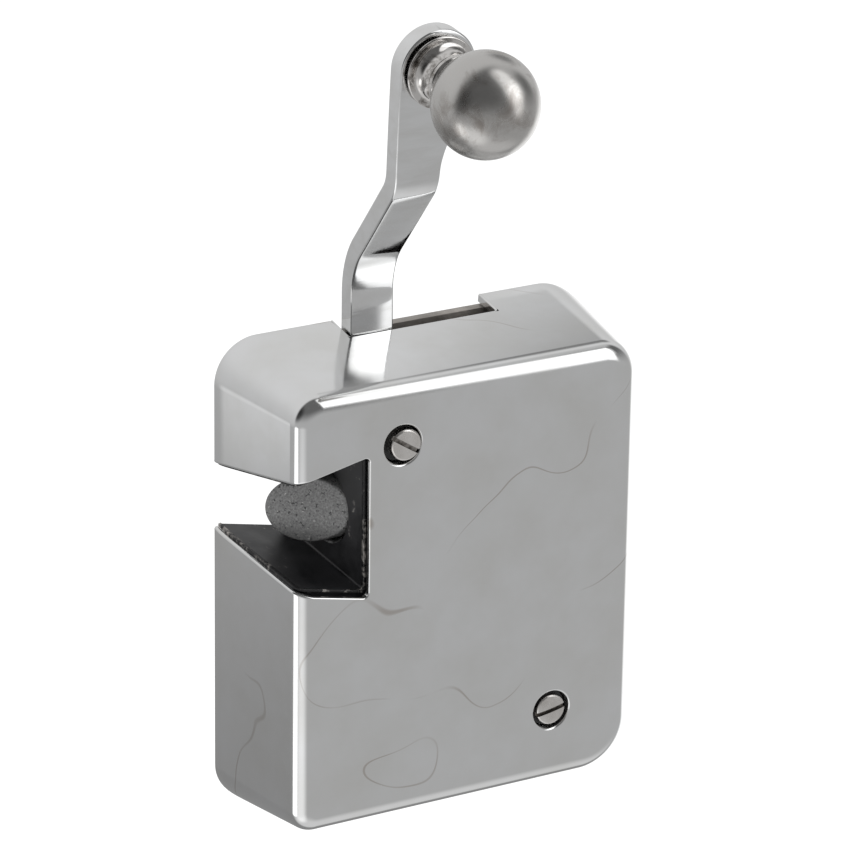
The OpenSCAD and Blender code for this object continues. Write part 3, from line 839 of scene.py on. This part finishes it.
def front_cover():
    """The pressed shell, with a hole a little larger than each opening, and the openings' rolled edges."""
    cover = case_solid("front_cover_shell", 0, (CHROME, INSIDE))
    boolean(cover, cover_hollow())
    grown = MOUTH_EDGE + FLAT
    boolean(cover, mouth_block("cutter", grown, MOUTH_CORNER + grown))
    grown = SLOT_EDGE + FLAT
    slot_lo = (SLOT_X[0] - grown, SLOT_FRONT - grown, CASE_H / 2 - 5)
    slot_hi = (SLOT_X[1] + grown, PAST_BACK, CASE_H / 2 + 5)
    boolean(cover, box_object("cutter", slot_lo, slot_hi))
    for x, z in (SCREW_UP, SCREW_LOW):
        place = facing(x, FRONT_Y - 1, z, (0, 1, 0))
        boolean(cover, rod("cutter", place, RECESS_R + RECESS_LIP + FLAT, 0, 5))
    tidy_mesh(cover, 25)
    finish_piece(cover, "case", "chrome", "front_cover")

    profile = edge_profile(MOUTH_EDGE, FLAT, MOUTH_EDGE_T)
    mouth = rim("cover_mouth_edge", mouth_path(0, 0, 0, MOUTH_CORNER), profile, (CHROME,))
    finish_piece(mouth, "case", "chrome")
    edge = rim("cover_slot_edge", slot_path(), edge_profile(SLOT_EDGE, FLAT, WALL, 5), (CHROME,))
    finish_piece(edge, "case", "chrome")


def screw_recess(name, at):
    """Dished seat for a cover screw: a rounded lip, a short wall and a floor with a hole."""
    outside = RECESS_R + RECESS_LIP + FLAT
    lip = [(RECESS_R + RECESS_LIP - RECESS_LIP * sin(radians(a)), RECESS_LIP - RECESS_LIP * cos(radians(a)))
           for a in range(0, 91, 9)]
    foot = arc(RECESS_R - RECESS_FOOT, RECESS_DEEP - RECESS_FOOT, RECESS_FOOT, 0, 90, 6)
    under = RECESS_DEEP + WALL
    profile = [(outside, 0)] + lip + foot + [(RECESS_HOLE, RECESS_DEEP), (RECESS_HOLE, under),
                                             (outside, under), (outside, 0)]
    # Below the lip it is black: painted shade and painted dark reflection in the recess
    shades = [0 if k < 1 + len(lip) else 1 for k in range(len(profile) - 1)]
    place = facing(at[0], FRONT_Y, at[1], (0, 1, 0))
    obj = revolve(name, profile, place, (CHROME, RECESS_SHADE_PAINT), face_material=shades)
    return finish_piece(obj, "case", "chrome")


def cover_screw(name, at, angle, proud):
    """Cheese-head screw with a rounded rim and a sawn slot, its head proud of the case's front."""
    flat_r = SCREW_HEAD_R - SCREW_RIM
    top = [(flat_r * k / 6, SCREW_DOME * (k / 6) ** 2) for k in range(7)]
    edge = [(flat_r + SCREW_RIM * sin(radians(a)), SCREW_DOME + SCREW_RIM - SCREW_RIM * cos(radians(a)))
            for a in range(15, 91, 15)]
    under = RECESS_DEEP + proud - 0.02
    shank = [(SCREW_HEAD_R, under), (SHANK_R, under), (SHANK_R, SHANK_LEN), (0, SHANK_LEN)]
    place = facing(at[0], FRONT_Y - proud, at[1], (0, 1, 0))
    obj = revolve(name, top + edge + shank, place, (SCREW_NICKEL, SLOT_SHADE_PAINT))
    saw = box_object("cutter", (-4, -1, -SAW_W / 2), (4, SAW_DEEP, SAW_W / 2))
    middle = Matrix.Translation(Vector((at[0], FRONT_Y - proud, at[1])) * MM)
    saw.matrix_world = middle @ Matrix.Rotation(angle, 4, "Y")
    # The sawn slot takes the darker metal as painted shade
    boolean(obj, darken(saw))
    tidy_mesh(obj, 30)
    return finish_piece(obj, "case", "screw_nickel", name)


front_cover()
screw_recess("cover_recess_upper", SCREW_UP)
screw_recess("cover_recess_lower", SCREW_LOW)
cover_screw("cover_screw_upper", (SCREW_UP[0] + SCREW_UP_SHIFT, SCREW_UP[1]), radians(33), 0.45)
cover_screw("cover_screw_lower", SCREW_LOW, radians(-11), 0.05)


# ---------- Pocket ----------

def pocket_apron():
    """The lining's floor and roof, out to the side of the case and back to the door."""
    at_door = -0.05
    apron = mouth_block("apron", -APRON_GAP, APRON_CORNER, 0.2, at_door, (BLACK,))
    limit = case_solid("limit", LINER_SIDE + APRON_CORNER, (BLACK,), LINER_DEPTH + APRON_CORNER)
    boolean(apron, limit, "INTERSECT")
    inner = box_object("cutter", (MOUTH_X - 1.0, -40, -PAST_SIDE), (PAST_SIDE, PAST_SIDE, PAST_SIDE))
    boolean(apron, inner)
    return apron


def strike_pocket():
    """Black lining of the mouth: floor, roof and inner wall with the bolt's hole."""
    plate_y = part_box("back_plate")[0][1] / MM
    body = mouth_block("strike_pocket_body", LINER_T, LINER_OUTER_CORNER, materials=(BLACK, RECESS_SHADE_PAINT))
    wall_lo = (MOUTH_X - 1.5, PAST_FRONT, LINER_WALL_Z[0])
    wall_hi = (MOUTH_X + LINER_WALL, PAST_BACK, LINER_WALL_Z[1])
    boolean(body, box_object("wall", wall_lo, wall_hi, (BLACK,)), "UNION")
    at_wall = facing(MOUTH_X, BOLT_Y, BOLT_Z, (1, 0, 0))
    boolean(body, rod("boss", at_wall, BOLT_D / 2 + BOSS_T, 0, BOSS_LEN, materials=(BLACK,)), "UNION")
    boolean(body, case_solid("limit", LINER_DEPTH + LINER_EDGE, (BLACK,)), "INTERSECT")
    behind = box_object("cutter", (-PAST_SIDE, plate_y - 0.02, -PAST_SIDE), (PAST_SIDE, PAST_SIDE, PAST_SIDE))
    boolean(body, behind)
    boolean(body, pocket_apron(), "UNION")
    boolean(body, mouth_block("cutter", -LINER_PROUD, LINER_CORNER, 0.0))
    # The bolt's hole, with a wide lead at its mouth; its walls get the black gloss as painted shade
    hole = BOLT_D / 2 + BOLT_PLAY
    boolean(body, darken(rod("cutter", facing(-24, BOLT_Y, BOLT_Z, (1, 0, 0)), hole, 0, 24)))
    lead = facing(MOUTH_X - SIDE_FLARE * (BOLT_Y - FRONT_Y), BOLT_Y, BOLT_Z, (1, 0, 0))
    boolean(body, darken(cone("cutter", lead, ((hole + LEAD_R, -1.2), (hole - 0.02, LEAD_DEEP)))))
    tidy_mesh(body, 30)
    finish_piece(body, "case", "black_satin", "strike_pocket")


def pocket_edge():
    """The lining's worn front edge, nearly flush with the side of the case."""
    thick = LINER_PROUD - APRON_GAP
    path = mouth_path(LINER_SIDE, LINER_DEPTH, -LINER_PROUD - 0.01, LINER_CORNER, -0.01)
    rounded = edge_profile(LIP_R, 0, LIP_R, 5)[1:-2]
    profile = [(-thick, 0)] + rounded + [(0, LIP_DEEP), (-thick, LIP_DEEP)]
    finish_piece(rim("strike_pocket_edge", path, profile, (WORN, BLACK)), "case", "black_satin")


strike_pocket()
pocket_edge()


# ---------- Bolt ----------

def latch_bolt():
    """Round bolt with a bevelled nose, a cross slot behind and a tail."""
    r = BOLT_D / 2
    face_x = BOLT_TIP + r * tan(BEVEL)
    # Bevel plane through (face_x, axis), its normal in the front left quarter, turned about the axis
    normal = Matrix.Rotation(-BEVEL_TURN, 3, "X") @ Vector((-cos(BEVEL), -sin(BEVEL), 0))
    around, across, edge_steps = 144, 24, 5
    angles = [2 * pi * i / around for i in range(around)]

    def on_bevel(rr, a):
        y, z = rr * cos(a), rr * sin(a)
        return Vector((face_x - (normal.y * y + normal.z * z) / normal.x, BOLT_Y + y, BOLT_Z + z))

    radii = [0.02] + [(r - BOLT_EDGE) * k / across for k in range(1, across + 1)]
    rings = [[on_bevel(rr, a) for a in angles] for rr in radii]
    # A small round from the bevel to the side
    for k in range(1, edge_steps + 1):
        t = pi / 2 * k / edge_steps
        back = Vector((BOLT_EDGE * (1 - cos(t)) * 1.2, 0, 0))
        rings.append([on_bevel(r - BOLT_EDGE + BOLT_EDGE * sin(t), a) + back for a in angles])
    tail_r = TAIL_D / 2
    turned = [(x, r) for x in (-14.0, -8.0, SHOULDER_X - SHOULDER_CHAMFER)]
    turned += [(SHOULDER_X, r - SHOULDER_CHAMFER), (SHOULDER_X, tail_r)]
    turned += [(BOLT_END - TAIL_CHAMFER, tail_r), (BOLT_END, tail_r - TAIL_CHAMFER)]
    for x, rr in turned:
        rings.append([(x, BOLT_Y + rr * cos(a), BOLT_Z + rr * sin(a)) for a in angles])
    obj = new_object("latch_bolt_round", *loft(rings), (GREY,))
    # The slot is open at the back of the bolt
    slot_lo = (LEVER_X - BOLT_SLOT / 2, BOLT_Y, BOLT_Z - 8)
    slot_hi = (LEVER_X + BOLT_SLOT / 2, BOLT_Y + 8, BOLT_Z + 8)
    boolean(obj, box_object("cutter", slot_lo, slot_hi))
    tidy_mesh(obj, 30)
    return finish_piece(obj, "bolt", "grey_steel", "latch_bolt")


latch_bolt()


# ---------- Lever ----------

def lever_path():
    """Front face of the lever in Y and Z, from below the pivot to past the head, bends rounded."""
    foot, low = (LEVER_FRONT, PIVOT_Z - 12), (LEVER_FRONT, BEND_LOW_Z)
    high = (LEVER_FRONT - JOGGLE, BEND_HIGH_Z)
    top = (high[0] - 40 * sin(LEAN), high[1] + 40 * cos(LEAN))
    return [foot] + round_corner(low, foot, high, BEND_R + LEVER_T, 24) \
        + round_corner(high, low, top, BEND_R, 24) + [top]


LEVER_PATH = lever_path()


def behind_lever(i):
    """Unit vector in Y and Z from the lever's front face to its back, at point i of its path."""
    a, b = LEVER_PATH[max(i - 1, 0)], LEVER_PATH[min(i + 1, len(LEVER_PATH) - 1)]
    along = Vector((b[0] - a[0], b[1] - a[1])).normalized()
    return Vector((along.y, -along.x))


def on_lever(x, z, depth):
    """The lever's point at x that is depth behind where its front face has height z."""
    for i, ((y0, z0), (y1, z1)) in enumerate(zip(LEVER_PATH, LEVER_PATH[1:])):
        if z <= z1 or z1 == LEVER_PATH[-1][1]:
            break
    t = (z - z0) / (z1 - z0)
    y = y0 + (y1 - y0) * t
    shortest_straight = 5
    if hypot(y1 - y0, z1 - z0) > shortest_straight:
        along = Vector((y1 - y0, z1 - z0)).normalized()
        back = Vector((along.y, -along.x))
    else:
        back = (behind_lever(i) * (1 - t) + behind_lever(i + 1) * t).normalized()
    return (x, y + back.x * depth, z + back.y * depth)


def lever_edges(d):
    """(left x, right x, z) up the lever's outline, moved in by d."""
    half = LEVER_W / 2 - d
    eye, head = EYE_R - d, HEAD_R - d
    nearly_flat = 89.5
    eye_steps, shank_steps, grip_steps, head_steps = 18, 12, 110, 40
    rows = []
    # The eye round the pivot
    meet = degrees(acos(half / eye))
    for i in range(eye_steps + 1):
        a = radians(-nearly_flat + (meet + nearly_flat) * i / eye_steps)
        rows.append((LEVER_X - eye * cos(a), LEVER_X + eye * cos(a), PIVOT_Z + eye * sin(a)))
    # The straight bar
    start = rows[-1][2]
    for i in range(1, shank_steps):
        z = start + (STRAIGHT_TO - start) * i / shank_steps
        rows.append((LEVER_X - half, LEVER_X + half, z))
    # The bar widens to the head: its left edge from the lower bend on, its right edge near the head
    left, right = LEVER_X - LEVER_W / 2, LEVER_X + LEVER_W / 2
    for i in range(grip_steps):
        z = STRAIGHT_TO + (HEAD_Z - STRAIGHT_TO) * i / grip_steps
        out_left = smooth(BEND_LOW_Z, HEAD_Z, z)
        out_right = smooth(BEND_HIGH_Z + 2, HEAD_Z - 1, z)
        rows.append((left + (HEAD_X - HEAD_R - left) * out_left + d,
                     right + (HEAD_X + HEAD_R - right) * out_right - d, z))
    # The round head
    for i in range(head_steps + 1):
        a = radians(nearly_flat * i / head_steps)
        rows.append((HEAD_X - head * cos(a), HEAD_X + head * cos(a), HEAD_Z + head * sin(a)))
    return rows


def lever_skin():
    """Points and faces of the bar: its rounded edges, its flat back and its slightly crowned front."""
    r = LEVER_EDGE
    section = [(r - r * sin(radians(a)), r - r * cos(radians(a))) for a in range(0, 91, 15)]
    section += [(d, LEVER_T - b) for d, b in section[::-1]]
    verts, loops = [], []
    for d, depth in section:
        rows = lever_edges(d)
        outline = [(left, z) for left, _, z in rows] + [(right, z) for _, right, z in rows[::-1]]
        loops.append([len(verts) + k for k in range(len(outline))])
        verts += [on_lever(x, z, depth) for x, z in outline]
    faces = []
    n = len(loops[0])
    for a, b in zip(loops, loops[1:]):
        faces += [(a[k], a[(k + 1) % n], b[(k + 1) % n], b[k]) for k in range(n)]
    back = loops[-1]
    faces += [(back[k], back[k + 1], back[n - 2 - k], back[n - 1 - k]) for k in range(n // 2 - 1)]
    columns, first = 14, loops[0]
    across = []
    for k, (left, right, z) in enumerate(lever_edges(section[0][0])):
        row = [first[k]]
        for j in range(1, columns):
            u = j / columns
            swell = CROWN * (1 - abs(2 * u - 1) ** 2.4) * min(1, (right - left) / LEVER_W)
            row.append(len(verts))
            verts.append(on_lever(left + (right - left) * u, z, -swell))
        across.append(row + [first[n - 1 - k]])
    for a, b in zip(across, across[1:]):
        faces += [(a[j], a[j + 1], b[j + 1], b[j]) for j in range(columns)]
    return verts, faces


def lever():
    """The bar with the holes for its pivot, its drive pin and the knob's screw."""
    obj = new_object("lever_bar", *lever_skin(), (LEVER_CHROME,), sharp=40)
    in_front = -20
    for z, r, segments in ((PIVOT_Z, PIVOT_HOLE_R, 96), (BOLT_Z, PIN_HOLE_R, 64)):
        boolean(obj, rod("cutter", facing(LEVER_X, in_front, z, (0, 1, 0)), r, 0, 30, segments))
    grip = on_grip()
    boolean(obj, rod("cutter", grip, KNOB_HOLE_R, -8, 8, 64))
    boolean(obj, cone("cutter", grip, ((SINK_R, -LEVER_T - SINK_PAST), (1.5, 1.5 - LEVER_T)), 64))
    tidy_mesh(obj, 40)
    return finish_piece(obj, "lever_arm", "chrome", "lever")


def on_grip():
    """The grip's face at the head's centre, +Z out of it."""
    out = Vector((0, -cos(LEAN), -sin(LEAN)))
    return facing(HEAD_X, GRIP_Y, HEAD_Z, out)


def knob():
    """Ball knob: a step on the lever, a thin flange, a cove, a bead and the ball."""
    foot = [(0, 0), (STEP_R, 0), (STEP_R, STEP_TOP)]
    flange = arc(FOOT_R - FOOT_EDGE, FOOT_MID, FOOT_EDGE, -90, 90, 12)
    wide, start = FOOT_R - COVE_STEP, FOOT_MID + FOOT_EDGE
    cove = [(wide - (wide - NECK_R) * sin(radians(a)), start + COVE_LEN * (1 - cos(radians(a))))
            for a in range(0, 91, 6)]
    bead = [(NECK_R + 0.1 + (BEAD_R - NECK_R) * cos(radians(a)), BEAD_MID + BEAD_HALF * sin(radians(a)))
            for a in range(-90, 91, 12)]
    join, ball_steps, nearly_round = degrees(asin((NECK_R + 0.05) / BALL_R)), 90, 179.6
    turns = [radians(join + (nearly_round - join) * i / ball_steps) for i in range(ball_steps + 1)]
    ball = [(BALL_R * sin(a), BALL_OUT - BALL_R * cos(a)) for a in turns]
    turned = foot + flange + cove + bead
    profile = turned + ball + [(0, BALL_OUT + BALL_R)]
    # The foot and neck are bright, the ball is duller
    shades = [0 if k < len(turned) else 1 for k in range(len(profile) - 1)]
    obj = revolve("knob_turned", profile, on_grip(), (KNOB_POLISH, NICKEL),
                  segments=192, face_material=shades, sharp=40)
    return finish_piece(obj, "lever_arm", "nickel", "knob")


lever()
knob()


# ---------- CAD pieces that are shown as they are ----------

def dress(node, material):
    """Gives a CAD node its material."""
    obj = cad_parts[node]
    obj.data.materials.clear()
    obj.data.materials.append(material)


MACHINED = ("bolt_spring", "spring_washer", "tail_bracket", "drive_pin", "knob_screw", "pivot_stud",
            "pivot_spacer", "pivot_washer", "pivot_clip", "stop_pins", "cover_post", "plate_screws")

dress("back_plate", PLATE)
for node in MACHINED:
    dress(node, STEEL)
